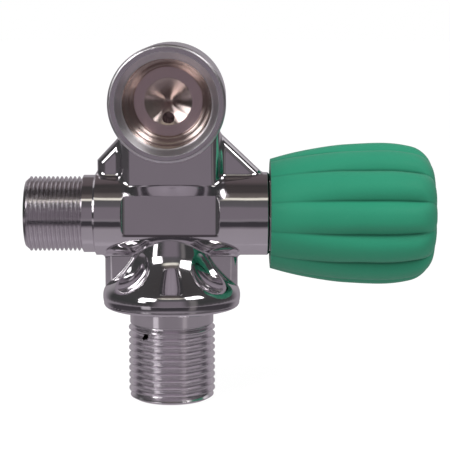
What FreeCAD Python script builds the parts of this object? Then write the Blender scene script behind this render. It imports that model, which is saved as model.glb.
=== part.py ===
"""A scuba cylinder valve with a side handwheel, an outlet on a pillar and a spare side port.

Millimetres. The origin is the centre of the collar's underside, on the axis of the neck thread.
+Z points up out of the cylinder, +X along the barrel towards the handwheel, -Y out of the outlet.
"""

import FreeCAD, Part
import math
import os

from FreeCAD import Vector

# ---- driving dimensions ----
BARREL_Z = 26.7            # height of the barrel's axis over the collar's underside
BARREL_R = 11.9
PORT_END_X = -41.5         # free end of the side port
PORT_THREAD_R = 10.7       # crests of the side port's thread, about M22 x 1.25
PORT_THREAD_PITCH = 1.25
PORT_THREAD_LENGTH = 16.2
PORT_LAND_R = 11.1        # machined ring beside the side port's thread
PORT_LAND_END_X = -21.8
ARM_END_X = 28.0           # end of the handwheel's arm
FLAT_HALF_WIDTH = 13.9     # wrench flats on the front and back of the barrel
FLAT_TOP_Y = 10.15         # the flats lean out downwards by the forging's draft
FLAT_DRAFT = 2.8           # degrees
FLAT_END_FILLET_R = 1.5    # where a flat meets the round barrel

NECK_THREAD_R = 12.5       # M25 x 2
NECK_THREAD_PITCH = 2.0
NECK_THREAD_TOP_Z = -5.55
NECK_END_Z = -27.0
NECK_PLAIN_R = 12.05
DIP_TUBE_R = 4.46          # core radius of an M10 x 1 thread for a dip tube
DIP_TUBE_DEPTH = 12.0
INLET_R = 2.5
VENT_R = 0.9
VENT_Z = -7.5
VENT_ANGLE = 231.0

COLLAR_R = 19.8
COLLAR_WIDEST_Z = 3.0
COLLAR_FOOT_Z = 1.3        # the collar's side leans in from its widest place down to here
COLLAR_LEAN = 0.24
BELL_TOP_R = 9.7
BELL_TOP_Z = 22.0
BELL_FLARE = ((10.4, 19.0), (10.85, 17.2), (11.28, 15.6), (11.78, 14.4),
              (14.35, 10.7), (17.5, 7.4), (19.1, 5.6))  # (radius, z)
WEB_HALF_WIDTH = 19.05
WEB_HALF_THICKNESS = 4.0
WEB_EDGE_R = 2.8
GUSSET_START_X = -20.95
SCOOP_R = 9.6              # the four forged scoops in the bell
SCOOP_REACH = 20.55
SCOOP_Z = 15.3
SCOOP_ANGLES = (43, 137, 223, 317)

PILLAR_HALF_WIDTH = 14.0
PILLAR_HALF_DEPTH = 8.0
PILLAR_CORNER_R = 3.0

RIDGE_R = 1.2              # forged fillets
GUSSET_FILLET_R = 2.0
FOOT_FILLET_R = 1.5
WEB_FILLET_R = 1.0
ARCH_R = 0.5

OUTLET_Z = 59.9            # height of the outlet's axis
OUTLET_R = 15.7
OUTLET_FACE_Y = -32.7
OUTLET_BACK_Y = 9.0
OUTLET_THREAD_R = 11.92    # core radius of an M26 x 2 internal thread
OUTLET_THREAD_ROOT_R = 13.0
OUTLET_THREAD_PITCH = 2.0
OUTLET_THREAD_START_Y = -31.1
OUTLET_THREAD_END_Y = -22.1
OUTLET_SEAT_Y = -19.5
OUTLET_SEAT_R = 9.4
OUTLET_CONE_R = 6.5
OUTLET_CONE_DEPTH = 3.2

SEAT_X = 6.0               # plane of the orifice's lip
CHAMBER_X = 4.5
CHAMBER_R = 6.5
CARRIER_BORE_R = 7.5
CARRIER_BORE_X = 14.3
GLAND_BORE_R = 8.5
GLAND_BORE_X = 20.5
GLAND_MOUTH_R = 10.2
GLAND_MOUTH_X = 26.2
PORT_BORE_R = 7.0
PORT_BORE_END_X = -20.0
CIRCLIP_GROOVE_R = 7.6
CIRCLIP_GROOVE_X = (-40.5, -39.2)
RISE_R = 2.0               # gas way up the pillar
RISE_Y = 1.0
CROSS_DROP = 4.5           # the gas hole's drop below the outlet's axis
GAS_HOLE_R = 1.6

PLUG_END_X = -22.0
PLUG_GROOVES = (-33.5, -27.5)
PLUG_GROOVE_R = 5.2

CARRIER_FRONT_X = 7.0
DISC_FACE_X = 6.05
DISC_R = 4.6
SEAT_SCREW_R = 1.5
BALANCE_HOLE_R = 0.5
CARRIER_GROOVE_X = (9.2, 11.2)
CARRIER_GROOVE_R = 5.0
CARRIER_THREAD_X = (14.6, 17.3)
SOCKET_END_X = 11.6

STEM_R = 4.5
STEM_SQUARE = 6.0
STEM_START_X = 14.9
STEM_COLLAR_X = (20.7, 22.3)
STEM_COLLAR_R = 7.2
THRUST_WASHER_X = (22.35, 23.15)
THRUST_WASHER_R = 7.6
GLAND_NUT_START_X = 23.2
GLAND_NUT_END_X = 33.2
GLAND_NUT_FLATS = 20.0
STEM_GROOVES = ((24.4, 27.2), (28.6, 31.4))
STEM_GROOVE_R = 3.1
SQUARE_START_X = 34.4
STEM_THREAD_X = 55.0
STEM_END_X = 63.1
STEM_THREAD_R = 3.0
STEM_ROOT_R = 2.4

KNOB_START_X = 28.3
KNOB_END_X = 74.9
KNOB_START = (KNOB_START_X, 15.7)  # (x, radius) over the rib crests
KNOB_WAIST = (43.5, 19.1)
KNOB_WIDEST = (59.0, 20.25)
KNOB_ROUND = (65.2, 19.9)
KNOB_SHOULDER = (69.2, 19.1)
KNOB_CROWN = (73.5, 15.7)
KNOB_END = (KNOB_END_X, 10.6)
KNOB_STATIONS = (KNOB_START_X, 32.0, 37.0, 43.0, 50.0, 57.0, 63.0, 67.0, 70.0, 72.2, 73.8, KNOB_END_X)
KNOB_RIBS = 12
RIB_POINTS = (0.0, 0.05, 0.14, 0.3, 0.5, 0.7, 0.86, 0.95, 1.0)
GROOVE_START_DEPTH = 0.25
GROOVE_DEPTH = 2.15
GROOVE_LEAD = 2.0          # the grooves deepen from here on
GROOVE_RUN = 24.0
GROOVE_END_SHARE = 0.4
GROOVE_SHARPNESS = 1.35    # above 1, the ribs are flatter and the grooves narrower
KNOB_HOLLOW_R = 12.4       # room for the gland nut
END_OPENING_R = 9.0
GROOVE_ANGLE = 41.7        # first groove, from +Z towards -Y
HUB_R = 12.0
HUB_START_X = 35.2
HUB_END_X = 70.4
HUB_FLOOR_X = 43.4
HUB_RECESS_R = 7.6
HUB_KEYS = 6
SPRING_R = 5.4
SPRING_WIRE_R = 0.65
SPRING_COILS = 4.5
CUP_X = (55.0, 56.4)
CUP_R = 6.8
NUT_FLATS = 10.0
NUT_HEIGHT = 5.0
WASHER_R = 8.6
GAP = 0.05                 # running clearance, on the radius

X_AXIS = Vector(1, 0, 0)
Y_AXIS = Vector(0, 1, 0)
Z_AXIS = Vector(0, 0, 1)
BARREL_POINT = Vector(0, 0, BARREL_Z)
FLAT_TOP_Z = BARREL_Z + math.sqrt(BARREL_R ** 2 - FLAT_TOP_Y ** 2)
OUTLET_POINT = Vector(0, 0, OUTLET_Z)


# ---- small shape makers ----
def turned(outline, point, axis):
    """A solid turned from (distance along the axis, radius) corners, listed in order round the section."""
    corners = [Vector(radius, 0, along) for along, radius in outline]
    wire = Part.makePolygon(corners + corners[:1])
    solid = Part.Face(wire).revolve(Vector(0, 0, 0), Z_AXIS, 360)
    solid = Part.Solid(solid) if solid.ShapeType != "Solid" else solid
    turn = FreeCAD.Rotation(Z_AXIS, axis)
    solid.Placement = FreeCAD.Placement(point, turn)
    return solid


def rod(point, axis, start, end, radius):
    """A plain cylinder between two distances along an axis."""
    return Part.makeCylinder(radius, end - start, point + axis * start, axis)


def tube(point, axis, start, end, inner, outer):
    """A plain ring between two distances along an axis."""
    return rod(point, axis, start, end, outer).cut(rod(point, axis, start - 1, end + 1, inner))


def o_ring(point, axis, place, inner, outer):
    """A rubber ring squeezed between two radii, clear of both by the running gap."""
    section = (outer - inner) / 2 - GAP
    return Part.makeTorus((outer + inner) / 2, section, point + axis * place, axis)


def square_bar(start, end, width):
    """A square bar along the barrel's axis."""
    corner = Vector(start, -width / 2, BARREL_Z - width / 2)
    return Part.makeBox(end - start, width, width, corner)


def hex_bar(start, end, across_flats):
    """A hexagonal bar along the barrel's axis, two of its flats level."""
    corner_r = across_flats / math.sqrt(3)
    corners = []
    for i in range(6):
        angle = math.radians(60 * i)
        corners.append(Vector(start, corner_r * math.cos(angle), BARREL_Z + corner_r * math.sin(angle)))
    face = Part.Face(Part.makePolygon(corners + corners[:1]))
    return face.extrude(X_AXIS * (end - start))


def thread_outline(start, end, pitch, crest_r, root_r):
    """Corners of a thread's section from start to end: crests an eighth of the pitch wide, roots a quarter."""
    step = pitch if end > start else -pitch
    turns = int(round(abs(end - start) / pitch))
    crest = step / 8
    flank = step * 5 / 16
    corners = []
    for i in range(turns):
        at = start + i * step
        corners.append((at, root_r))
        corners.append((at + flank, crest_r))
        corners.append((at + flank + crest, crest_r))
        corners.append((at + 2 * flank + crest, root_r))
    return corners


def rounded(shape, radius, wanted):
    """The shape with every edge that wanted() picks rounded to the radius."""
    edges = [edge for edge in shape.Edges if wanted(edge)]
    return shape.makeFillet(radius, edges)


def along(edge):
    """Five points spread along an edge, its ends included."""
    span = edge.LastParameter - edge.FirstParameter
    return [edge.valueAt(edge.FirstParameter + span * i / 4) for i in range(5)]


def middle(edge):
    """The point halfway along an edge."""
    return along(edge)[2]


def upright(edge):
    """True for an edge that starts out parallel to Z."""
    return abs(edge.tangentAt(edge.FirstParameter).z) > 0.9


def on_barrel(edge):
    """True for an edge that lies on the barrel's round surface."""
    return all(abs(math.hypot(p.y, p.z - BARREL_Z) - BARREL_R) < 0.05 for p in along(edge))


def scoop_rim(edge):
    """True for an edge that is neither in the plane y = 0 nor a level circle."""
    return abs(middle(edge).y) > 1 and abs(edge.tangentAt(edge.FirstParameter).z) > 0.01


def straight(edge):
    """True for a straight edge."""
    return edge.Curve.TypeId == "Part::GeomLine"


# ---- the forged and machined body ----
def neck():
    """The threaded neck that screws into the cylinder."""
    root_r = NECK_THREAD_R - 0.6134 * NECK_THREAD_PITCH
    outline = [(6.0, 0.0), (6.0, NECK_PLAIN_R), (NECK_THREAD_TOP_Z + 0.8, NECK_PLAIN_R)]
    outline += [(NECK_THREAD_TOP_Z + 0.4, NECK_PLAIN_R - 0.2), (NECK_THREAD_TOP_Z + 0.1, root_r)]
    outline += thread_outline(NECK_THREAD_TOP_Z, NECK_END_Z + 1.45, NECK_THREAD_PITCH, NECK_THREAD_R, root_r)
    outline += [(NECK_END_Z + 0.95, NECK_THREAD_R - 0.4), (NECK_END_Z + 0.75, NECK_THREAD_R - 0.4)]
    outline += [(NECK_END_Z, root_r - 0.5), (NECK_END_Z, 0.0)]
    return turned(outline, Vector(0, 0, 0), Z_AXIS)


def bell():
    """The bell-shaped foot and its collar, with a scoop between each lobe and the web."""
    top = Vector(BELL_TOP_R, 0, BARREL_Z)
    bend = Vector(BELL_TOP_R, 0, BELL_TOP_Z)
    shoulder = Vector(COLLAR_R, 0, COLLAR_WIDEST_Z)
    middle_z = (COLLAR_WIDEST_Z + COLLAR_FOOT_Z) / 2
    side = Vector(COLLAR_R - COLLAR_LEAN, 0, COLLAR_FOOT_Z)
    foot = Vector(COLLAR_R - 1.3, 0, 0)
    flare = Part.BSplineCurve()
    waypoints = [Vector(radius, 0, height) for radius, height in BELL_FLARE]
    flare.interpolate([bend] + waypoints + [shoulder], InitialTangent=Vector(0.22, 0, -1), FinalTangent=-Z_AXIS)
    edges = [
        Part.makeLine(Vector(0, 0, BARREL_Z), top),
        Part.makeLine(top, bend),
        flare.toShape(),
        Part.Arc(shoulder, Vector(COLLAR_R - COLLAR_LEAN / 4, 0, middle_z), side).toShape(),
        Part.Arc(side, Vector(COLLAR_R - 0.5, 0, 0.37), foot).toShape(),
        Part.makeLine(foot, Vector(0, 0, 0)),
        Part.makeLine(Vector(0, 0, 0), Vector(0, 0, BARREL_Z)),
    ]
    solid = Part.Face(Part.Wire(edges)).revolve(Vector(0, 0, 0), Z_AXIS, 360)
    for angle in SCOOP_ANGLES:
        turn = math.radians(angle)
        centre = Vector(SCOOP_REACH * math.cos(turn), SCOOP_REACH * math.sin(turn), SCOOP_Z)
        solid = solid.cut(Part.makeSphere(SCOOP_R, centre))
    return rounded(solid, RIDGE_R, scoop_rim)


def barrel():
    """The cross barrel with its wrench flats, without its bores."""
    root_r = PORT_THREAD_R - 0.6134 * PORT_THREAD_PITCH
    thread_end = PORT_END_X + PORT_THREAD_LENGTH
    outline = [(PORT_END_X, 0.0), (PORT_END_X, root_r - 0.5), (PORT_END_X + 0.8, root_r + 0.2)]
    outline += thread_outline(PORT_END_X + 0.9, thread_end - 0.6, PORT_THREAD_PITCH, PORT_THREAD_R, root_r)
    outline += [(thread_end - 0.3, root_r), (thread_end + 0.3, PORT_LAND_R), (PORT_LAND_END_X, PORT_LAND_R)]
    outline += [(PORT_LAND_END_X + 0.4, BARREL_R), (ARM_END_X - 0.5, BARREL_R), (ARM_END_X, BARREL_R - 0.5)]
    outline += [(ARM_END_X, 0.0)]
    solid = turned(outline, BARREL_POINT, X_AXIS)
    for side in (-1, 1):
        corner = Vector(-FLAT_HALF_WIDTH, 0, -2 * BARREL_R)
        cutter = Part.makeBox(2 * FLAT_HALF_WIDTH, BARREL_R, 3 * BARREL_R, corner)
        cutter = rounded(cutter, FLAT_END_FILLET_R, lambda edge: upright(edge) and abs(middle(edge).y) < 0.01)
        cutter.rotate(Vector(0, 0, 0), X_AXIS, FLAT_DRAFT)
        cutter.translate(Vector(0, FLAT_TOP_Y, FLAT_TOP_Z))
        if side < 0:
            cutter = cutter.mirror(Vector(0, 0, 0), Y_AXIS)
        solid = solid.cut(cutter)
    return solid


def pillar():
    """The pillar that carries the outlet, its upright edges rounded."""
    corner = Vector(-PILLAR_HALF_WIDTH, -PILLAR_HALF_DEPTH, BARREL_Z)
    solid = Part.makeBox(2 * PILLAR_HALF_WIDTH, 2 * PILLAR_HALF_DEPTH, OUTLET_Z - BARREL_Z, corner)
    return rounded(solid, PILLAR_CORNER_R, upright)


def plate(corners):
    """A web of the standard thickness from its (x, z) outline, its outer edges rounded."""
    points = [Vector(x, -WEB_HALF_THICKNESS, z) for x, z in corners]
    face = Part.Face(Part.makePolygon(points + points[:1]))
    solid = face.extrude(Y_AXIS * (2 * WEB_HALF_THICKNESS))
    return rounded(solid, WEB_EDGE_R, lambda edge: abs(edge.tangentAt(edge.FirstParameter).y) < 0.1)


def gussets():
    """The two sloping gussets beside the pillar, made as one plate through it."""
    return plate([(GUSSET_START_X, BARREL_Z), (GUSSET_START_X, 42.3), (-12.0, 51.8),
                  (12.0, 51.8), (27.2, 37.38), (27.2, BARREL_Z)])


def web():
    """The web between the barrel and the collar."""
    return plate([(-WEB_HALF_WIDTH, 2.0), (-WEB_HALF_WIDTH, BARREL_Z),
                  (WEB_HALF_WIDTH, BARREL_Z), (WEB_HALF_WIDTH, 2.0)])


def gusset_corner(edge):
    """True for the upright corners between the gussets and the pillar."""
    at = middle(edge)
    beside = abs(abs(at.x) - PILLAR_HALF_WIDTH) < 0.2 and abs(abs(at.y) - WEB_HALF_THICKNESS) < 0.1
    return beside and upright(edge) and edge.Length > 2


def pillar_foot(edge):
    """True for the line where the pillar and gussets stand on the barrel."""
    at = middle(edge)
    return on_barrel(edge) and at.z > BARREL_Z + 5 and abs(at.y) < 9 and GUSSET_START_X - 0.1 < at.x < ARM_END_X - 1


def web_head(edge):
    """True for the line where the lower web meets the barrel."""
    at = middle(edge)
    return on_barrel(edge) and at.z < BARREL_Z - 5 and abs(at.y) < WEB_HALF_THICKNESS + 0.1


def arch(edge):
    """True for the line where the bell meets the barrel."""
    at = middle(edge)
    return on_barrel(edge) and at.z < BARREL_Z - 5 and abs(at.x) < 2 and not straight(edge)


def outlet_head():
    """The round head of the outlet, rim and back rounded, before boring."""
    solid = rod(OUTLET_POINT, Y_AXIS, OUTLET_FACE_Y, OUTLET_BACK_Y, OUTLET_R)
    solid = rounded(solid, 4.5, lambda edge: middle(edge).y > OUTLET_BACK_Y - 0.1 and edge.Length > 50)
    return rounded(solid, 0.9, lambda edge: middle(edge).y < OUTLET_FACE_Y + 0.1 and edge.Length > 50)


def outlet_bore():
    """What is bored out of the outlet: lead-in, thread, run-out, seat and centre cone."""
    outline = [(OUTLET_FACE_Y - 1.0, 0.0), (OUTLET_FACE_Y - 1.0, OUTLET_THREAD_ROOT_R + 0.9)]
    outline += [(OUTLET_FACE_Y, OUTLET_THREAD_ROOT_R + 0.75), (OUTLET_THREAD_START_Y, OUTLET_THREAD_R + 0.25)]
    outline += [(OUTLET_THREAD_START_Y + 0.05, OUTLET_THREAD_R)]
    outline += thread_outline(OUTLET_THREAD_START_Y + 0.3, OUTLET_THREAD_END_Y, OUTLET_THREAD_PITCH,
                              OUTLET_THREAD_ROOT_R, OUTLET_THREAD_R)
    outline += [(OUTLET_THREAD_END_Y, OUTLET_THREAD_R), (OUTLET_SEAT_Y - 0.5, OUTLET_SEAT_R + 0.3)]
    outline += [(OUTLET_SEAT_Y, OUTLET_SEAT_R), (OUTLET_SEAT_Y, OUTLET_CONE_R)]
    outline += [(OUTLET_SEAT_Y + OUTLET_CONE_DEPTH, 0.0)]
    return turned(outline, OUTLET_POINT, Y_AXIS)


def passages():
    """The bores and gas ways inside the body."""
    cuts = [
        rod(BARREL_POINT, X_AXIS, CHAMBER_X, CARRIER_BORE_X + 0.1, CHAMBER_R),
        rod(BARREL_POINT, X_AXIS, CARRIER_BORE_X, GLAND_BORE_X + 0.1, CARRIER_BORE_R),
        rod(BARREL_POINT, X_AXIS, GLAND_BORE_X, ARM_END_X + 1, GLAND_BORE_R),
        rod(BARREL_POINT, X_AXIS, GLAND_MOUTH_X, ARM_END_X + 1, GLAND_MOUTH_R),
        rod(BARREL_POINT, X_AXIS, PORT_END_X - 1, PORT_BORE_END_X, PORT_BORE_R),
        rod(BARREL_POINT, X_AXIS, CIRCLIP_GROOVE_X[0], CIRCLIP_GROOVE_X[1], CIRCLIP_GROOVE_R),
        rod(BARREL_POINT, X_AXIS, PORT_BORE_END_X - 1, CHAMBER_X + 1, INLET_R),
        rod(Vector(0, 0, 0), Z_AXIS, NECK_END_Z - 1, NECK_END_Z + DIP_TUBE_DEPTH, DIP_TUBE_R),
        rod(Vector(0, 0, 0), Z_AXIS, NECK_END_Z, BARREL_Z, INLET_R),
    ]
    rise_x = CHAMBER_X + 0.4 + RISE_R
    cross_z = OUTLET_Z - CROSS_DROP
    cuts.append(rod(Vector(rise_x, RISE_Y, 0), Z_AXIS, BARREL_Z + 2, cross_z, RISE_R))
    cuts.append(rod(Vector(0, RISE_Y, cross_z), X_AXIS, 0, rise_x + RISE_R, RISE_R))
    cuts.append(rod(Vector(0, 0, cross_z), Y_AXIS, OUTLET_SEAT_Y + 0.4, RISE_Y + RISE_R, GAS_HOLE_R))
    vent = math.radians(VENT_ANGLE)
    outwards = Vector(math.cos(vent), math.sin(vent), 0)
    cuts.append(rod(Vector(0, 0, VENT_Z), outwards, 1, NECK_THREAD_R + 1, VENT_R))
    return cuts


def forging():
    """The body before boring, with the forged fillets in its corners."""
    solid = barrel().fuse(pillar()).fuse(gussets()).removeSplitter()
    solid = rounded(solid, GUSSET_FILLET_R, gusset_corner)
    solid = rounded(solid, FOOT_FILLET_R, pillar_foot)
    solid = solid.fuse(bell().fuse(web()).removeSplitter()).removeSplitter()
    solid = rounded(solid, WEB_FILLET_R, web_head)
    solid = rounded(solid, ARCH_R, arch)
    return solid.fuse(outlet_head()).fuse(neck()).removeSplitter()


def valve_body():
    """The chromed brass body, bored."""
    solid = forging()
    for cut in [outlet_bore()] + passages():
        solid = solid.cut(cut)
    lip = tube(BARREL_POINT, X_AXIS, CHAMBER_X - 0.5, SEAT_X, INLET_R, INLET_R + 0.9)
    return solid.fuse(lip)


# ---- pieces in the side port ----
def port_plug():
    """The blanking plug, with two seal grooves and a tapped hole to pull it out by."""
    left = CIRCLIP_GROOVE_X[1] + GAP
    solid = rod(BARREL_POINT, X_AXIS, left, PLUG_END_X, PORT_BORE_R - GAP)
    for groove in PLUG_GROOVES:
        solid = solid.cut(tube(BARREL_POINT, X_AXIS, groove - 1.2, groove + 1.2, PLUG_GROOVE_R, PORT_BORE_R))
    solid = solid.cut(rod(BARREL_POINT, X_AXIS, left - 1, left + 8, 2.5))
    return solid.cut(rod(BARREL_POINT, X_AXIS, left - 1, left + 0.8, 3.2))


def port_plug_o_rings():
    """The plug's two seals."""
    rings = [o_ring(BARREL_POINT, X_AXIS, place, PLUG_GROOVE_R, PORT_BORE_R) for place in PLUG_GROOVES]
    return Part.makeCompound(rings)


def port_circlip():
    """An internal retaining ring with a gap and two eyed ears."""
    start, end = CIRCLIP_GROOVE_X[0] + 0.1, CIRCLIP_GROOVE_X[1]
    solid = tube(BARREL_POINT, X_AXIS, start, end, 6.1, CIRCLIP_GROOVE_R - GAP)
    gap = Part.makeBox(end - start + 2, 3.0, 9.0, Vector(start - 1, -1.5, BARREL_Z - 9.0))
    solid = solid.cut(gap)
    for side in (-1, 1):
        eye = Vector(0, side * 2.6, BARREL_Z - 5.2)
        solid = solid.fuse(rod(eye, X_AXIS, start, end, 1.3))
        solid = solid.cut(rod(eye, X_AXIS, start - 1, end + 1, 0.6))
    return solid


# ---- pieces of the shut-off ----
def seat_carrier():
    """The lower spindle: it holds the seat and screws along its bore, driven through a square socket."""
    solid = rod(BARREL_POINT, X_AXIS, CARRIER_FRONT_X, CARRIER_THREAD_X[1], CHAMBER_R - 0.1)
    solid = solid.fuse(rod(BARREL_POINT, X_AXIS, CARRIER_THREAD_X[0], CARRIER_THREAD_X[1], CARRIER_BORE_R - 0.08))
    groove = tube(BARREL_POINT, X_AXIS, CARRIER_GROOVE_X[0], CARRIER_GROOVE_X[1], CARRIER_GROOVE_R, CHAMBER_R + 1)
    solid = solid.cut(groove)
    solid = solid.cut(square_bar(SOCKET_END_X, CARRIER_THREAD_X[1] + 1, STEM_SQUARE + 0.2))
    solid = solid.cut(rod(BARREL_POINT, X_AXIS, CARRIER_FRONT_X - 1, CARRIER_FRONT_X + 1.5, DISC_R))
    solid = solid.cut(rod(BARREL_POINT, X_AXIS, CARRIER_FRONT_X, CARRIER_FRONT_X + 3.6, SEAT_SCREW_R))
    return solid.cut(rod(BARREL_POINT, X_AXIS, CARRIER_FRONT_X, SOCKET_END_X + 1, BALANCE_HOLE_R))


def seat_disc():
    """The soft seat that closes the orifice."""
    return tube(BARREL_POINT, X_AXIS, DISC_FACE_X, CARRIER_FRONT_X + 1.5, SEAT_SCREW_R, DISC_R)


def seat_screw():
    """The hollow screw that clamps the seat disc and lets gas through to balance the carrier."""
    solid = rod(BARREL_POINT, X_AXIS, DISC_FACE_X - 1.1, DISC_FACE_X, 2.0)
    solid = solid.fuse(rod(BARREL_POINT, X_AXIS, DISC_FACE_X - 0.5, CARRIER_FRONT_X + 3.6, SEAT_SCREW_R))
    solid = solid.cut(rod(BARREL_POINT, X_AXIS, DISC_FACE_X - 2, CARRIER_FRONT_X + 5, BALANCE_HOLE_R))
    slot = Part.makeBox(0.6, 0.6, 5.0, Vector(DISC_FACE_X - 1.1, -0.3, BARREL_Z - 2.5))
    return solid.cut(slot)


def carrier_o_ring():
    """The seal round the balanced carrier."""
    place = (CARRIER_GROOVE_X[0] + CARRIER_GROOVE_X[1]) / 2
    return o_ring(BARREL_POINT, X_AXIS, place, CARRIER_GROOVE_R, CHAMBER_R)


# ---- pieces of the gland and the spindle ----
def gland_nut():
    """The bonnet that screws into the arm and holds the spindle in."""
    solid = rod(BARREL_POINT, X_AXIS, GLAND_NUT_START_X, ARM_END_X + 0.1, GLAND_BORE_R - GAP)
    bar = hex_bar(ARM_END_X, GLAND_NUT_END_X, GLAND_NUT_FLATS)
    chamfer = turned([(ARM_END_X - 1, 0), (ARM_END_X - 1, 11.6), (GLAND_NUT_END_X - 0.9, 11.6),
                      (GLAND_NUT_END_X, 10.0), (GLAND_NUT_END_X, 0)], BARREL_POINT, X_AXIS)
    solid = solid.fuse(bar.common(chamfer))
    return solid.cut(rod(BARREL_POINT, X_AXIS, GLAND_NUT_START_X - 1, GLAND_NUT_END_X + 1, STEM_R + GAP))


def gland_o_ring():
    """The seal between the gland nut and the arm."""
    return o_ring(BARREL_POINT, X_AXIS, (GLAND_MOUTH_X + ARM_END_X) / 2, GLAND_BORE_R - GAP, GLAND_MOUTH_R)


def upper_spindle():
    """The spindle: square tang, collar, sealed shank, square for the handwheel and threaded end."""
    solid = square_bar(STEM_START_X, STEM_COLLAR_X[0] + 0.1, STEM_SQUARE)
    solid = solid.fuse(rod(BARREL_POINT, X_AXIS, STEM_COLLAR_X[0], STEM_COLLAR_X[1], STEM_COLLAR_R))
    solid = solid.fuse(rod(BARREL_POINT, X_AXIS, STEM_COLLAR_X[1], SQUARE_START_X, STEM_R))
    square = square_bar(SQUARE_START_X, STEM_THREAD_X, STEM_SQUARE)
    solid = solid.fuse(square.common(rod(BARREL_POINT, X_AXIS, SQUARE_START_X, STEM_THREAD_X, 4.0)))
    thread = [(STEM_THREAD_X - 0.1, 0), (STEM_THREAD_X - 0.1, STEM_ROOT_R)]
    thread += thread_outline(STEM_THREAD_X + 0.2, STEM_END_X - 0.6, 1.0, STEM_THREAD_R, STEM_ROOT_R)
    thread += [(STEM_END_X - 0.5, 2.7), (STEM_END_X, 2.2), (STEM_END_X, 0)]
    solid = solid.fuse(turned(thread, BARREL_POINT, X_AXIS))
    for start, end in STEM_GROOVES:
        solid = solid.cut(tube(BARREL_POINT, X_AXIS, start, end, STEM_GROOVE_R, STEM_R + 1))
    return solid


def thrust_washer():
    """The slide washer between the spindle's collar and the gland nut."""
    return tube(BARREL_POINT, X_AXIS, THRUST_WASHER_X[0], THRUST_WASHER_X[1], STEM_R + GAP, THRUST_WASHER_R)


def spindle_o_rings():
    """The two seals on the spindle's shank."""
    rings = [o_ring(BARREL_POINT, X_AXIS, start + 0.8, STEM_GROOVE_R, STEM_R + GAP) for start, _ in STEM_GROOVES]
    return Part.makeCompound(rings)


def spindle_backup_rings():
    """The anti-extrusion ring beside each spindle seal."""
    rings = []
    for _, end in STEM_GROOVES:
        rings.append(tube(BARREL_POINT, X_AXIS, end - 1.0, end - 0.05, STEM_GROOVE_R + 0.02, STEM_R))
    return Part.makeCompound(rings)


# ---- pieces of the handwheel ----
def handwheel_washer():
    """The slide washer between the gland nut and the hub."""
    return tube(BARREL_POINT, X_AXIS, GLAND_NUT_END_X + 0.2, HUB_START_X - 0.2, STEM_R + 0.1, WASHER_R)


def hub_blank():
    """The hub's outside with the keys that grip the rubber."""
    solid = rod(BARREL_POINT, X_AXIS, HUB_START_X, HUB_END_X, HUB_R)
    for i in range(HUB_KEYS):
        corner = Vector(HUB_START_X + 3, -1.5, BARREL_Z + HUB_R - 0.6)
        key = Part.makeBox(HUB_END_X - HUB_START_X - 6, 3, 1.6, corner)
        key.rotate(BARREL_POINT, X_AXIS, i * 360 / HUB_KEYS)
        solid = solid.fuse(key)
    return solid


def handwheel_hub():
    """The stiff core of the handwheel, with a square hole and a recess for the spring and nut."""
    solid = hub_blank()
    solid = solid.cut(square_bar(HUB_START_X - 1, HUB_FLOOR_X + 1, STEM_SQUARE + 0.1))
    return solid.cut(rod(BARREL_POINT, X_AXIS, HUB_FLOOR_X, HUB_END_X + 1, HUB_RECESS_R))


def knob_radius(x):
    """Radius over the rib crests at a place along the grip, on three arcs that run into each other."""
    if x < KNOB_WIDEST[0]:
        points = KNOB_START, KNOB_WAIST, KNOB_WIDEST
    elif x < KNOB_SHOULDER[0]:
        points = KNOB_WIDEST, KNOB_ROUND, KNOB_SHOULDER
    else:
        points = KNOB_SHOULDER, KNOB_CROWN, KNOB_END
    circle = Part.Circle(*[Vector(place, radius, 0) for place, radius in points])
    return circle.Center.y + math.sqrt(circle.Radius ** 2 - (x - circle.Center.x) ** 2)


def groove_depth(x):
    """Depth of the grooves: almost nothing at the valve's end, deepest near the free end, less on the crown."""
    run_in = min(1.0, max(0.0, (x - KNOB_START_X - GROOVE_LEAD) / GROOVE_RUN))
    run_out = min(1.0, max(GROOVE_END_SHARE, (KNOB_END_X - x) / (KNOB_END_X - KNOB_SHOULDER[0])))
    return GROOVE_START_DEPTH + (GROOVE_DEPTH - GROOVE_START_DEPTH) * run_in * run_out


def knob_section(x):
    """The grip's outline at a place along it: broad convex ribs that meet in crisp V grooves."""
    crest_r = knob_radius(x)
    depth = groove_depth(x)
    ribs = []
    for i in range(KNOB_RIBS):
        points = []
        for share in RIB_POINTS:
            radius = crest_r - depth * (1 - math.sin(math.pi * share)) ** GROOVE_SHARPNESS
            angle = math.radians(GROOVE_ANGLE) + 2 * math.pi * (i + share) / KNOB_RIBS
            points.append(Vector(x, -radius * math.sin(angle), BARREL_Z + radius * math.cos(angle)))
        rib = Part.BSplineCurve()
        rib.interpolate(points, Parameters=list(RIB_POINTS))
        ribs.append(rib.toShape())
    return Part.Wire(ribs)


def handwheel_grip():
    """The rubber grip moulded round the hub."""
    solid = Part.makeLoft([knob_section(x) for x in KNOB_STATIONS], True, False)
    solid = solid.cut(rod(BARREL_POINT, X_AXIS, KNOB_START_X - 1, HUB_START_X, KNOB_HOLLOW_R))
    solid = solid.cut(hub_blank())
    return solid.cut(rod(BARREL_POINT, X_AXIS, HUB_END_X - 1, KNOB_END_X + 1, END_OPENING_R))


def handwheel_spring():
    """The coil spring that keeps the handwheel down on its square."""
    height = CUP_X[0] - HUB_FLOOR_X - 2 * SPRING_WIRE_R - 0.1
    helix = Part.makeHelix(height / SPRING_COILS, height, SPRING_R)
    section = Part.Wire(Part.makeCircle(SPRING_WIRE_R, Vector(SPRING_R, 0, 0), Y_AXIS))
    coil = Part.Wire(helix).makePipeShell([section], True, True)
    coil.rotate(Vector(0, 0, 0), Y_AXIS, 90)
    coil.translate(Vector(HUB_FLOOR_X + SPRING_WIRE_R + 0.05, 0, BARREL_Z))
    return coil


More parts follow.
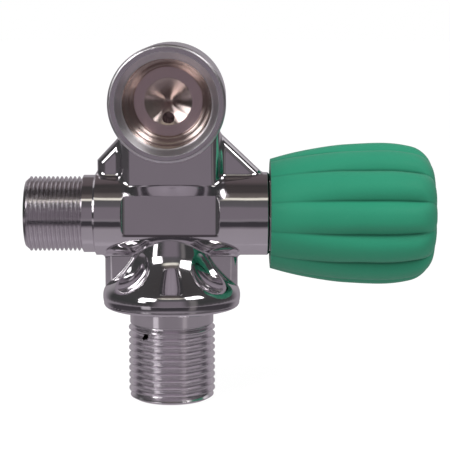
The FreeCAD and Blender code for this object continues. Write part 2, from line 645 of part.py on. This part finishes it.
def spring_cup():
    """The flanged washer that carries the spring's outer end."""
    solid = tube(BARREL_POINT, X_AXIS, CUP_X[0], CUP_X[1], STEM_THREAD_R + GAP, CUP_R)
    return solid.fuse(tube(BARREL_POINT, X_AXIS, CUP_X[0] - 1.4, CUP_X[1], CUP_R - 0.6, CUP_R))


def handwheel_nut():
    """The locking nut on the spindle's end."""
    solid = hex_bar(CUP_X[1], CUP_X[1] + NUT_HEIGHT, NUT_FLATS)
    return solid.cut(rod(BARREL_POINT, X_AXIS, CUP_X[1] - 1, CUP_X[1] + NUT_HEIGHT + 1, STEM_THREAD_R + 0.02))


PIECES = {
    "valve_body": valve_body,
    "port_plug": port_plug,
    "port_plug_o_rings": port_plug_o_rings,
    "port_circlip": port_circlip,
    "seat_carrier": seat_carrier,
    "seat_disc": seat_disc,
    "seat_screw": seat_screw,
    "carrier_o_ring": carrier_o_ring,
    "gland_nut": gland_nut,
    "gland_o_ring": gland_o_ring,
    "upper_spindle": upper_spindle,
    "thrust_washer": thrust_washer,
    "spindle_o_rings": spindle_o_rings,
    "spindle_backup_rings": spindle_backup_rings,
    "handwheel_washer": handwheel_washer,
    "handwheel_hub": handwheel_hub,
    "handwheel_grip": handwheel_grip,
    "handwheel_spring": handwheel_spring,
    "spring_cup": spring_cup,
    "handwheel_nut": handwheel_nut,
}

os.makedirs("parts", exist_ok=True)
for name, make in PIECES.items():
    shape = make()
    box = shape.BoundBox
    print(name, shape.ShapeType, shape.isValid(), len(shape.Solids), round(shape.Volume, 1),
          [round(v, 2) for v in (box.XMin, box.XMax, box.YMin, box.YMax, box.ZMin, box.ZMax)])
    shape.exportStep("parts/" + name + ".step")
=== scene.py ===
import math

import bpy
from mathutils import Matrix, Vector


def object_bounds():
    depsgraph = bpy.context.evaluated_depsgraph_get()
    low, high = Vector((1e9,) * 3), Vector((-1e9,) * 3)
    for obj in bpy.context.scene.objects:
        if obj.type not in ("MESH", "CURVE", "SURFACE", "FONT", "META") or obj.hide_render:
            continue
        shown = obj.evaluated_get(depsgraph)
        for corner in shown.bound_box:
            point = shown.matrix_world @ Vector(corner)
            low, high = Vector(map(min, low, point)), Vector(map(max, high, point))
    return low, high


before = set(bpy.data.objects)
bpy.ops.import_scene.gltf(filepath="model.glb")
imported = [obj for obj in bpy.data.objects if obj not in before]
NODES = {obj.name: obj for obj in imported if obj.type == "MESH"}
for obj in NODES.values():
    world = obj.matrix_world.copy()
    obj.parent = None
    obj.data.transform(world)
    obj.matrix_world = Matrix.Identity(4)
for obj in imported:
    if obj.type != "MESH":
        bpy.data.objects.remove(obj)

CAD_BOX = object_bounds()

# ---- places on the part, in metres; a pair is where a fade starts and where it's whole ----
BARREL_Z = 0.0267                       # height of the barrel's axis
OUTLET_Z = 0.0599                       # height of the outlet's axis
RIBS = 12                               # on the grip
GROOVE_ANGLE = 41.7                     # degrees, the first groove between ribs, from +Z to -Y
GRIP_NEAR_END = (0.034, 0.046)          # x
GRIP_FAR_END = (0.0735, 0.0690)         # x
NECK = (-0.0048, -0.0056)               # z
PORT = (-0.0245, -0.0256)               # x
CREASE_Z = (0.0214, 0.0220)             # the ledge under the wrench flats, where a line of painted shade runs, low and high
CREASE_X = (-0.0134, 0.0134)            # its two ends
CREASE_Y = (0.0100, 0.0102)             # distance from the middle, to either side
LIP_Y, LIP_RADIUS = (-0.0305, -0.0309), (0.0142, 0.0137)
RIM_Y, RIM_RADIUS = (-0.0312, -0.0318), (0.0147, 0.0150)
BARE_MOUTH_Y, BARE_BACK_Y = (-0.0315, -0.0300), (0.0060, 0.0050)
BARE_RADIUS = (0.0131, 0.0127)
THREAD_RADIUS = (0.0095, 0.0097)
SEAT_OUTER, SEAT_INNER = (0.0095, 0.0093), (0.0064, 0.0066)
CONE_RADIUS = (0.0067, 0.0064)
CONE_TIP_Y, CONE_SLOPE = -0.0161, 0.492 # y on the outlet's axis, and its fall per radius
SEAT_Y = -0.0193                        # the flat round the cone

# ---- colours ----
CHROME = ((0.80, 0.775, 0.80), (0.86, 0.835, 0.86))
# painted shade: the dark line along the ledge under the wrench flats, standing in for a dark
# reflection in its rounding
CREASE_SHADE = (0.16, 0.145, 0.155)
NECK_CHROME = (1.0, 0.97, 1.0)
BRONZE = ((0.62, 0.51, 0.47), (0.80, 0.68, 0.64))
LILAC = ((0.72, 0.575, 0.565), (0.83, 0.685, 0.675))
# painted shade inside the gas passage, deeper than the cone and the seat
HOLE_SHADE = (0.42, 0.34, 0.32)
GREEN = ((0.0150, 0.205, 0.117), (0.0205, 0.235, 0.135))
GREEN_SCUFF = (0.050, 0.285, 0.185)
# painted shade in the grooves between the grip's ribs
GREEN_GROOVE_SHADE = (0.004, 0.075, 0.042)
FLOOR_WHITE = (0.9, 0.9, 0.9)

# ---- inputs and outputs of the Mix node, which share their names ----
MIX_FACTOR = 0
MIX_VECTORS, MIX_VECTOR_OUT = (4, 5), 1
MIX_COLOURS, MIX_COLOUR_OUT = (6, 7), 2


# ---- node helpers ----
def plug(tree, value, socket):
    """Puts a number, a colour or another node's output on a socket."""
    if isinstance(value, bpy.types.NodeSocket):
        tree.links.new(value, socket)
    else:
        socket.default_value = value


def paint(colour):
    """A colour as a socket takes it: an output as it is, three numbers with a fourth."""
    return colour if isinstance(colour, bpy.types.NodeSocket) else (*colour, 1.0)


def calc(tree, operation, *values):
    """A Math node."""
    node = tree.nodes.new("ShaderNodeMath")
    node.operation = operation
    for value, socket in zip(values, node.inputs):
        plug(tree, value, socket)
    return node.outputs[0]


def product(tree, first, *others):
    """The product of two or more numbers."""
    for other in others:
        first = calc(tree, "MULTIPLY", first, other)
    return first


def vector_calc(tree, operation, *values):
    """A Vector Math node."""
    node = tree.nodes.new("ShaderNodeVectorMath")
    node.operation = operation
    for value, socket in zip(values, node.inputs):
        plug(tree, value, socket)
    return node.outputs["Value" if operation == "LENGTH" else "Vector"]


def remap(tree, value, low, high, to_low=0.0, to_high=1.0, kind="SMOOTHSTEP"):
    """A clamped, smooth change from one number to another as value goes from low to high."""
    node = tree.nodes.new("ShaderNodeMapRange")
    node.interpolation_type = kind
    plug(tree, value, node.inputs["Value"])
    plug(tree, low, node.inputs["From Min"])
    plug(tree, high, node.inputs["From Max"])
    plug(tree, to_low, node.inputs["To Min"])
    plug(tree, to_high, node.inputs["To Max"])
    return node.outputs["Result"]


def between(tree, value, low, high, soft):
    """One between low and high, fading to zero over soft at each side."""
    rise = remap(tree, value, low - soft, low + soft)
    fall = remap(tree, value, high - soft, high + soft)
    return calc(tree, "SUBTRACT", rise, fall)


def mix_colour(tree, factor, first, second, blend="MIX"):
    """Two colours mixed by a factor."""
    node = tree.nodes.new("ShaderNodeMix")
    node.data_type = "RGBA"
    node.blend_type = blend
    plug(tree, factor, node.inputs[MIX_FACTOR])
    for colour, place in zip((first, second), MIX_COLOURS):
        plug(tree, paint(colour), node.inputs[place])
    return node.outputs[MIX_COLOUR_OUT]


def mix_vector(tree, factor, first, second):
    """Two vectors mixed by a factor."""
    node = tree.nodes.new("ShaderNodeMix")
    node.data_type = "VECTOR"
    plug(tree, factor, node.inputs[MIX_FACTOR])
    for vector, place in zip((first, second), MIX_VECTORS):
        plug(tree, vector, node.inputs[place])
    return node.outputs[MIX_VECTOR_OUT]


def mix_shader(tree, factor, first, second):
    """Two shaders mixed by a factor."""
    node = tree.nodes.new("ShaderNodeMixShader")
    for value, socket in zip((factor, first, second), node.inputs):
        plug(tree, value, socket)
    return node.outputs[0]


def noise(tree, place, scale, detail=3.0, roughness=0.5):
    """A Noise texture's value at a place, with its scale in features per metre."""
    node = tree.nodes.new("ShaderNodeTexNoise")
    plug(tree, place, node.inputs["Vector"])
    node.inputs["Scale"].default_value = scale
    node.inputs["Detail"].default_value = detail
    node.inputs["Roughness"].default_value = roughness
    return node.outputs["Fac"]


def tool_rings(tree, along, detail):
    """Noise that changes along one number only, as a turning tool's marks do."""
    node = tree.nodes.new("ShaderNodeTexNoise")
    node.noise_dimensions = "1D"
    plug(tree, along, node.inputs["W"])
    node.inputs["Scale"].default_value = 1.0
    node.inputs["Detail"].default_value = detail
    node.inputs["Roughness"].default_value = 0.5
    return node.outputs["Fac"]


def ramp(tree, value, stops):
    """A Color Ramp from (place, colour) pairs."""
    node = tree.nodes.new("ShaderNodeValToRGB")
    plug(tree, value, node.inputs["Fac"])
    elements = node.color_ramp.elements
    while len(elements) < len(stops):
        elements.new(0.5)
    for element, (place, colour) in zip(elements, stops):
        element.position = place
        element.color = (*colour, 1.0)
    return node.outputs["Color"]


def bump(tree, height, strength, distance, normal=None):
    """A Bump node."""
    node = tree.nodes.new("ShaderNodeBump")
    node.inputs["Strength"].default_value = strength
    node.inputs["Distance"].default_value = distance
    plug(tree, height, node.inputs["Height"])
    if normal is not None:
        tree.links.new(normal, node.inputs["Normal"])
    return node.outputs["Normal"]


def worn_edge(tree, radius):
    """The normal with every sharp edge softened over a radius."""
    node = tree.nodes.new("ShaderNodeBevel")
    node.samples = 6
    node.inputs["Radius"].default_value = radius
    return node.outputs["Normal"]


def split(tree, vector):
    """A vector's three parts."""
    node = tree.nodes.new("ShaderNodeSeparateXYZ")
    tree.links.new(vector, node.inputs[0])
    return tuple(node.outputs)


def object_place(tree):
    """The place on the object, in metres: the vector and its three parts."""
    place = tree.nodes.new("ShaderNodeTexCoord").outputs["Object"]
    return place, *split(tree, place)


def new_material(name):
    """An empty node material and its Principled shader, already on the output."""
    material = bpy.data.materials.new(name)
    material.use_nodes = True
    tree = material.node_tree
    tree.nodes.clear()
    output = tree.nodes.new("ShaderNodeOutputMaterial")
    shader = tree.nodes.new("ShaderNodeBsdfPrincipled")
    tree.links.new(shader.outputs[0], output.inputs["Surface"])
    return material, tree, shader, output


def finish_surface(tree, shader, **values):
    """Puts values on a shader's inputs, named with underscores for spaces."""
    for name, value in values.items():
        plug(tree, value, shader.inputs[name.replace("_", " ")])


# ---- the valve body's chrome and bare brass ----
def outlet_radius(tree, x, z):
    """The vector from the outlet's axis, across it, and its length."""
    across = tree.nodes.new("ShaderNodeCombineXYZ")
    tree.links.new(x, across.inputs["X"])
    tree.links.new(calc(tree, "SUBTRACT", z, OUTLET_Z), across.inputs["Z"])
    return across.outputs[0], vector_calc(tree, "LENGTH", across.outputs[0])


def chrome_finish(tree, shader, place, x, y, z, radius):
    """Polished chrome, rougher where it was turned, with a painted dark line of shade along the
    ledge under the wrench flats. Gives back the softened normal.
    """
    tint = mix_colour(tree, noise(tree, place, 90.0, 2.0), *CHROME)
    # painted shade: the base colour turns dark along the ledge under the wrench flats, on both
    # sides
    crease_shade_mask = product(tree, between(tree, z, *CREASE_Z, 0.0003), between(tree, x, *CREASE_X, 0.0004),
                     remap(tree, calc(tree, "ABSOLUTE", y), *CREASE_Y))
    tint = mix_colour(tree, crease_shade_mask, tint, CREASE_SHADE)
    neck = remap(tree, z, *NECK)
    tint = mix_colour(tree, neck, tint, NECK_CHROME)

    turned = calc(tree, "MAXIMUM", neck, remap(tree, x, *PORT))
    lip = product(tree, remap(tree, y, *LIP_Y), remap(tree, radius, *LIP_RADIUS))
    rim = product(tree, remap(tree, y, *RIM_Y), remap(tree, radius, *RIM_RADIUS))
    smear = noise(tree, place, 700.0, 4.0)
    rough = calc(tree, "ADD", remap(tree, smear, 0.3, 0.75, 0.055, 0.10),
                 product(tree, turned, 0.09))
    rough = calc(tree, "ADD", rough, product(tree, calc(tree, "MAXIMUM", lip, rim), 0.27))

    soft = mix_vector(tree, turned, worn_edge(tree, 0.0003), worn_edge(tree, 0.00005))
    wave = noise(tree, place, 130.0, 1.0)
    finish_surface(tree, shader, Base_Color=tint, Metallic=1.0, Roughness=rough,
                   Normal=bump(tree, wave, 0.12, 0.00045, soft))
    return soft


def bare_brass(tree, y, across, radius, soft):
    """The turned brass inside the outlet: a cone, a flat seat and a thread, with tool rings."""
    shader = tree.nodes.new("ShaderNodeBsdfPrincipled")
    rings = tool_rings(tree, product(tree, radius, 3600.0), 0.0)
    outward = vector_calc(tree, "NORMALIZE", across)
    cone = remap(tree, radius, *CONE_RADIUS)
    seat = product(tree, remap(tree, radius, *SEAT_OUTER), remap(tree, radius, *SEAT_INNER))
    thread = remap(tree, radius, *THREAD_RADIUS)

    colour = mix_colour(tree, seat, mix_colour(tree, rings, *BRONZE),
                        mix_colour(tree, rings, *LILAC))
    # painted shade: the brass turns darker where the surface lies deeper than the cone and the
    # seat, in the gas passage
    cone_y = calc(tree, "SUBTRACT", CONE_TIP_Y, product(tree, radius, CONE_SLOPE))
    behind = calc(tree, "SUBTRACT", y, calc(tree, "MAXIMUM", cone_y, SEAT_Y))
    colour = mix_colour(tree, remap(tree, behind, 0.0, 0.0004), colour, HOLE_SHADE)

    # each ring's flank leans its normal towards the axis, so a thread shows as bright rings
    grooved = bump(tree, rings, 0.25, 0.00003, soft)
    lean = remap(tree, rings, 0.3, 0.7, -0.45, -0.90, "LINEAR")
    flank = vector_calc(tree, "ADD", vector_calc(tree, "MULTIPLY", outward, lean), (0.0, -1.0, 0.0))
    flank = vector_calc(tree, "NORMALIZE", flank)
    normal = mix_vector(tree, product(tree, thread, 0.75), grooved, flank)

    finish_surface(tree, shader, Base_Color=colour, Metallic=1.0,
                   Anisotropic=remap(tree, thread, 0.0, 1.0, 0.85, 0.2),
                   Roughness=remap(tree, cone, 0.0, 1.0, 0.20, 0.17),
                   Tangent=outward, Normal=vector_calc(tree, "NORMALIZE", normal))
    return shader


def chrome_body():
    """Polished chrome over forged brass, with bare turned brass inside the outlet."""
    material, tree, shader, output = new_material("chrome_body")
    place, x, y, z = object_place(tree)
    across, radius = outlet_radius(tree, x, z)
    soft = chrome_finish(tree, shader, place, x, y, z, radius)
    bare = bare_brass(tree, y, across, radius, soft)
    inside = product(tree, remap(tree, y, *BARE_MOUTH_Y), remap(tree, radius, *BARE_RADIUS),
                     remap(tree, y, *BARE_BACK_Y))
    both = mix_shader(tree, inside, shader.outputs[0], bare.outputs[0])
    tree.links.new(both, output.inputs["Surface"])
    return material


# ---- the other materials ----
def turned_metal(name, dark, light, roughness, anisotropy, ring_scale):
    """A metal turned about the barrel's axis, with fine tool rings."""
    material, tree, shader, _ = new_material(name)
    place, x, y, z = object_place(tree)
    height = calc(tree, "SUBTRACT", z, BARREL_Z)
    radius = calc(tree, "SQRT", calc(tree, "ADD", calc(tree, "POWER", y, 2.0),
                                     calc(tree, "POWER", height, 2.0)))
    rings = tool_rings(tree, product(tree, calc(tree, "ADD", radius, x), ring_scale), 2.0)
    stain = noise(tree, place, 260.0, 4.0, 0.6)
    stained = [part * 0.7 for part in dark]
    colour = mix_colour(tree, rings, dark, light)
    colour = mix_colour(tree, remap(tree, stain, 0.45, 0.8, 0.0, 0.35), colour, stained)
    finish_surface(tree, shader, Base_Color=colour, Metallic=1.0, Anisotropic=anisotropy,
                   Roughness=remap(tree, stain, 0.2, 0.9, roughness * 0.8, roughness * 1.4),
                   Normal=bump(tree, rings, 0.3, 0.00003, worn_edge(tree, 0.0002)))
    return material


def groove_closeness(tree, y, z):
    """One in the middle of a groove between ribs, falling to zero a little way up each side."""
    turn = calc(tree, "ARCTAN2", product(tree, y, -1.0), calc(tree, "SUBTRACT", z, BARREL_Z))
    from_first = calc(tree, "ADD", calc(tree, "DEGREES", turn), 720.0 - GROOVE_ANGLE)
    rib = calc(tree, "FRACT", calc(tree, "DIVIDE", from_first, 360.0 / RIBS))
    half_on = calc(tree, "FRACT", calc(tree, "ADD", rib, 0.5))
    from_groove = calc(tree, "ABSOLUTE", calc(tree, "SUBTRACT", half_on, 0.5))
    return remap(tree, from_groove, 0.075, 0.0)


def grip_rubber():
    """Moulded green rubber: a fine eggshell skin, scuffs and painted shade in the grooves between
    the ribs.
    """
    material, tree, shader, _ = new_material("grip_rubber")
    place, x, y, z = object_place(tree)
    grain = noise(tree, place, 2600.0, 2.0, 0.6)
    scuff = noise(tree, place, 420.0, 5.0, 0.65)
    colour = mix_colour(tree, noise(tree, place, 55.0, 3.0), *GREEN)
    colour = mix_colour(tree, remap(tree, scuff, 0.60, 0.80, 0.0, 0.22), colour, GREEN_SCUFF)
    # painted shade: darker green in the grooves between the ribs, fading towards both ends of the
    # grip
    groove_shade = product(tree, groove_closeness(tree, y, z), remap(tree, x, *GRIP_NEAR_END, 0.25, 0.62),
                    remap(tree, x, *GRIP_FAR_END, 0.25, 1.0))
    colour = mix_colour(tree, groove_shade, colour, GREEN_GROOVE_SHADE)
    height = calc(tree, "ADD", product(tree, grain, 0.35), scuff)
    finish_surface(tree, shader, Base_Color=colour, Normal=bump(tree, height, 0.35, 0.00012),
                   Roughness=remap(tree, scuff, 0.3, 0.8, 0.50, 0.66), Specular_IOR_Level=0.30,
                   Sheen_Weight=0.08, Sheen_Roughness=0.5)
    return material


def mottled(name, colour, roughness):
    """Smooth seal rubber or plastic with a mottled dullness."""
    material, tree, shader, _ = new_material(name)
    place = object_place(tree)[0]
    cloud = noise(tree, place, 300.0, 4.0)
    paler = [min(1.0, part * 1.35 + 0.01) for part in colour]
    grain = noise(tree, place, 3200.0, 2.0)
    finish_surface(tree, shader, Base_Color=mix_colour(tree, cloud, colour, paler),
                   Roughness=remap(tree, cloud, 0.3, 0.7, roughness - 0.08, roughness + 0.08),
                   Normal=bump(tree, grain, 0.25, 0.00006, worn_edge(tree, 0.0002)))
    return material


def dress():
    """Gives every CAD node its finish."""
    chrome_nut = turned_metal("chrome_nut", (0.74, 0.72, 0.74), (0.84, 0.82, 0.84),
                              roughness=0.10, anisotropy=0.2, ring_scale=5000.0)
    brass = turned_metal("turned_brass", (0.62, 0.42, 0.20), (0.80, 0.58, 0.30),
                         roughness=0.26, anisotropy=0.5, ring_scale=7000.0)
    spindle_brass = turned_metal("spindle_brass", (0.60, 0.46, 0.26), (0.76, 0.62, 0.38),
                                 roughness=0.24, anisotropy=0.6, ring_scale=8000.0)
    stainless = turned_metal("stainless", (0.52, 0.51, 0.50), (0.66, 0.65, 0.63),
                             roughness=0.28, anisotropy=0.5, ring_scale=8000.0)
    spring_steel = turned_metal("spring_steel", (0.40, 0.39, 0.38), (0.58, 0.57, 0.55),
                                roughness=0.30, anisotropy=0.3, ring_scale=4000.0)
    seal = mottled("seal_rubber", (0.014, 0.014, 0.015), 0.48)
    nylon = mottled("white_nylon", (0.72, 0.71, 0.67), 0.40)
    ptfe = mottled("ptfe", (0.84, 0.84, 0.82), 0.36)
    finishes = {
        "valve_body": chrome_body(),
        "handwheel_grip": grip_rubber(),
        "gland_nut": chrome_nut,
        "port_plug": brass,
        "seat_carrier": brass,
        "upper_spindle": spindle_brass,
        "handwheel_nut": stainless,
        "seat_screw": stainless,
        "spring_cup": stainless,
        "port_circlip": spring_steel,
        "handwheel_spring": spring_steel,
        "handwheel_hub": mottled("hub_plastic", (0.020, 0.020, 0.023), 0.42),
        "port_plug_o_rings": seal,
        "carrier_o_ring": seal,
        "gland_o_ring": seal,
        "spindle_o_rings": seal,
        "seat_disc": nylon,
        "handwheel_washer": nylon,
        "thrust_washer": ptfe,
        "spindle_backup_rings": ptfe,
    }
    for name, material in finishes.items():
        slots = NODES[name].data.materials
        slots.clear()
        slots.append(material)


# ---- surroundings: (elevation in degrees, colour) as reflections see them ----
FRONT_ROOM = [
    (-90, (0.33, 0.30, 0.335)), (-38, (0.31, 0.28, 0.31)), (-32, (0.17, 0.15, 0.17)),
    (-29, (0.05, 0.045, 0.052)), (-17, (0.045, 0.042, 0.048)), (-14, (0.22, 0.20, 0.22)),
    (-11, (0.23, 0.205, 0.23)), (-7, (0.195, 0.170, 0.195)), (22, (0.19, 0.165, 0.19)),
    (27, (0.115, 0.108, 0.118)), (43, (0.10, 0.097, 0.10)), (46, (0.95, 0.92, 0.80)),
    (49, (0.95, 0.92, 0.80)), (52, (0.15, 0.13, 0.12)), (61, (0.12, 0.105, 0.10)),
    (68, (0.06, 0.052, 0.052)), (90, (0.055, 0.048, 0.048)),
]
SIDE_ROOM = [
    (-90, (0.40, 0.365, 0.405)), (-36, (0.30, 0.27, 0.30)), (-30, (0.06, 0.055, 0.062)),
    (-17, (0.05, 0.045, 0.052)), (-14, (0.27, 0.245, 0.27)), (-10, (0.25, 0.225, 0.25)),
    (-7, (0.07, 0.065, 0.07)), (5, (0.048, 0.050, 0.050)), (50, (0.06, 0.058, 0.06)),
    (90, (0.05, 0.045, 0.045)),
]
BACK_ROOM = [
    (-90, (0.33, 0.30, 0.335)), (-20, (0.30, 0.27, 0.30)), (30, (0.34, 0.32, 0.34)),
    (38, (0.14, 0.12, 0.125)), (75, (0.115, 0.093, 0.098)), (90, (0.055, 0.048, 0.048)),
]
FRONT_TO_SIDE, SIDE_TO_BACK = (14.0, 36.0), (115.0, 150.0)      # degrees round from the camera
SOFTBOXES = [   # azimuth from and to, elevation from and to, soft edge in degrees, colour
    (-58.0, -29.0, 24.0, 42.0, 2.5, (5.0, 4.9, 4.95)),
    (-55.0, -44.0, 9.0, 22.0, 2.5, (4.0, 3.9, 3.95)),
    (-50.0, -35.0, -24.0, -9.0, 3.0, (0.40, 0.38, 0.40)),
    (32.0, 66.0, 37.0, 54.0, 2.5, (5.0, 4.9, 4.9)),
    (32.0, 44.0, -30.0, 30.0, 4.0, (0.12, 0.11, 0.11)),
    (-150.0, -110.0, 35.0, 62.0, 5.0, (0.6, 0.58, 0.6)),
    (105.0, 140.0, 25.0, 55.0, 6.0, (0.5, 0.48, 0.5)),
]
SKY = [(0.0, 1.65), (0.45, 0.66), (0.62, 0.62), (1.0, 0.80)]    # grey from below to above
SKY_STRENGTH = 0.75


def room(tree, level, stops):
    """The room's colours by height, where level goes from 0 straight down to 1 straight up."""
    return ramp(tree, level, [((place + 90.0) / 180.0, colour) for place, colour in stops])


def background(tree, colour, strength=1.0):
    """A Background shader."""
    node = tree.nodes.new("ShaderNodeBackground")
    plug(tree, paint(colour), node.inputs["Color"])
    node.inputs["Strength"].default_value = strength
    return node.outputs[0]


def surroundings():
    """White to the camera, a studio with softboxes in reflections, even light on matt parts."""
    world = bpy.data.worlds.new("studio")
    bpy.context.scene.world = world
    world.use_nodes = True
    tree = world.node_tree
    tree.nodes.clear()
    x, y, z = split(tree, tree.nodes.new("ShaderNodeTexCoord").outputs["Generated"])
    elevation = calc(tree, "DEGREES", calc(tree, "ARCSINE", z))
    azimuth = calc(tree, "DEGREES", calc(tree, "ARCTAN2", x, product(tree, y, -1.0)))
    level = calc(tree, "DIVIDE", calc(tree, "ADD", elevation, 90.0), 180.0)

    turn = calc(tree, "ABSOLUTE", azimuth)
    colour = mix_colour(tree, remap(tree, turn, *FRONT_TO_SIDE), room(tree, level, FRONT_ROOM),
                        room(tree, level, SIDE_ROOM))
    colour = mix_colour(tree, remap(tree, turn, *SIDE_TO_BACK), colour,
                        room(tree, level, BACK_ROOM))
    for az_low, az_high, el_low, el_high, soft, glow in SOFTBOXES:
        mask = product(tree, between(tree, azimuth, az_low, az_high, soft),
                       between(tree, elevation, el_low, el_high, soft))
        colour = mix_colour(tree, mask, colour, glow, "ADD")

    sky = ramp(tree, level, [(place, (grey, grey, grey)) for place, grey in SKY])
    path = tree.nodes.new("ShaderNodeLightPath").outputs
    lit = mix_shader(tree, path["Is Diffuse Ray"], background(tree, colour),
                     background(tree, sky, SKY_STRENGTH))
    seen = mix_shader(tree, path["Is Camera Ray"], lit, background(tree, (1.0, 1.0, 1.0)))
    output = tree.nodes.new("ShaderNodeOutputWorld")
    tree.links.new(seen, output.inputs["Surface"])


def floor():
    """A white sweep just under the neck that takes only a breath of shadow."""
    half, low = 6.0, CAD_BOX[0][2] - 0.0002
    corners = [(-half, -half, low), (half, -half, low), (half, half, low), (-half, half, low)]
    mesh = bpy.data.meshes.new("floor")
    mesh.from_pydata(corners, [], [(0, 1, 2, 3)])
    plane = bpy.data.objects.new("floor", mesh)
    bpy.context.scene.collection.objects.link(plane)
    material, tree, shader, output = new_material("floor_white")
    finish_surface(tree, shader, Base_Color=paint(FLOOR_WHITE), Roughness=0.9,
                   Specular_IOR_Level=0.0)
    glow = tree.nodes.new("ShaderNodeEmission")
    glow.inputs["Strength"].default_value = 1.06
    mostly_glow = mix_shader(tree, 0.90, shader.outputs[0], glow.outputs[0])
    tree.links.new(mostly_glow, output.inputs["Surface"])
    mesh.materials.append(material)
    plane.visible_glossy = False
    plane.visible_diffuse = False


def area_light(name, place, aim, width, power):
    """A softbox that lights the matt parts and stays out of the reflections."""
    data = bpy.data.lights.new(name, "AREA")
    data.shape = "SQUARE"
    data.size = width
    data.energy = power
    light = bpy.data.objects.new(name, data)
    bpy.context.scene.collection.objects.link(light)
    light.location = place
    away = [end - start for end, start in zip(aim, place)]
    tilt = math.atan2(math.hypot(away[0], away[1]), -away[2])
    light.rotation_euler = (tilt, 0.0, math.atan2(away[1], away[0]) - math.pi / 2)
    light.visible_glossy = False


def camera():
    """The photograph's view: a long lens a little above the barrel, looking slightly down."""
    data = bpy.data.cameras.new("camera")
    data.sensor_width = 36.0
    data.lens = 119.8
    data.clip_start = 0.01
    view = bpy.data.objects.new("camera", data)
    bpy.context.scene.collection.objects.link(view)
    view.location = (0.0154, -0.4265, 0.0829)
    view.rotation_euler = (math.radians(90.0 - 7.95), 0.0, 0.0)
    bpy.context.scene.camera = view


dress()
surroundings()
floor()
area_light("key", place=(-0.20, -0.35, 0.65), aim=(0.02, 0.0, 0.03), width=0.30, power=4.0)
area_light("fill", place=(0.55, -0.40, 0.25), aim=(0.04, 0.0, 0.03), width=0.40, power=1.2)
camera()
bpy.context.scene.view_settings.view_transform = "Standard"
